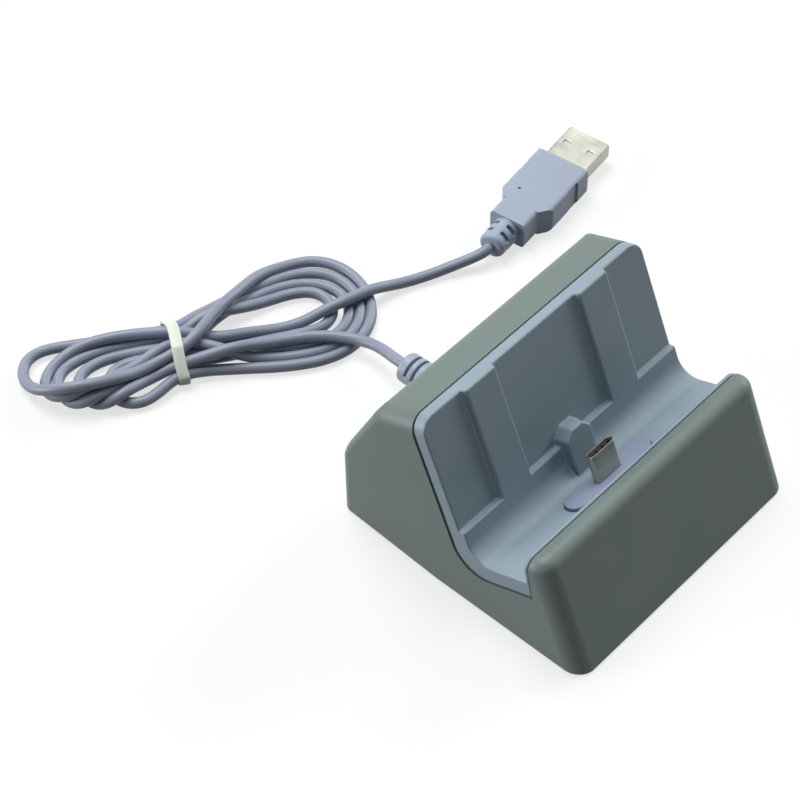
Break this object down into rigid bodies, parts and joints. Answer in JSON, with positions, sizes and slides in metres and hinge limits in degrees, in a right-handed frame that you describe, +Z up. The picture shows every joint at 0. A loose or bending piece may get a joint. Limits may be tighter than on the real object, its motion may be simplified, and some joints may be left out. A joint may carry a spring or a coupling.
{
  "type": "charging stand",
  "caption": "Desktop charging stand with a leaning wedge housing, an open cradle trough with an upright USB-C plug, and a tied cord ending in a USB-A plug.",
  "frame": {"origin": "on the table, under the middle of the housing", "axes": "+X along the trough, +Y to the rear wall with the cord, +Z up"},
  "size_m": [0.1518, 0.1601, 0.0502],
  "materials": {
    "housing_plastic": "fine satin texture, grey with a green cast",
    "cradle_plastic": "satin blue-grey",
    "pad_plastic": "satin lavender grey",
    "base_plastic": "matt grey",
    "foot_rubber": "matt soft rubber",
    "screw_steel": "plain zinc plated",
    "bracket_plastic": "matt dark",
    "plug_metal": "plain drawn steel",
    "plug_black": "matt black",
    "contact_gold": "gold plated",
    "board_green": "solder mask",
    "chip_black": "matt epoxy",
    "component_tan": "ceramic",
    "wire_red": "smooth sleeve",
    "wire_black": "smooth sleeve",
    "wire_green": "smooth sleeve",
    "wire_white": "smooth sleeve",
    "cord_sheath": "soft satin sheath",
    "tie_white": "soft off-white",
    "grip_plastic": "soft satin moulding",
    "tongue_white": "smooth"
  },
  "bodies": {
    "root": {"housing": "housing_plastic", "cradle_insert": "cradle_plastic", "base_plate": "base_plastic", "foot_front_left": "foot_rubber", "foot_front_right": "foot_rubber", "foot_rear_left": "foot_rubber", "foot_rear_right": "foot_rubber", "base_screws": "screw_steel", "cradle_screws": "screw_steel", "connector_carrier": "pad_plastic", "carrier_bracket": "bracket_plastic", "bracket_screws": "screw_steel", "usb_c_shell": "plug_metal", "usb_c_insulator": "plug_black", "usb_c_contacts": "contact_gold", "circuit_board": "board_green", "charge_chip": "chip_black", "board_parts": "component_tan", "power_wire": "wire_red", "ground_wire": "wire_black", "data_wire_plus": "wire_green", "data_wire_minus": "wire_white", "rear_strain_relief": "grip_plastic", "cord_lead": "cord_sheath", "cord_hank": "cord_sheath", "cord_tail": "cord_sheath", "cord_tie": "tie_white", "plug_grip": "grip_plastic", "plug_strain_relief": "grip_plastic", "usb_a_shell": "plug_metal", "usb_a_tongue": "tongue_white", "usb_a_contacts": "contact_gold"}
  },
  "joints": []
}
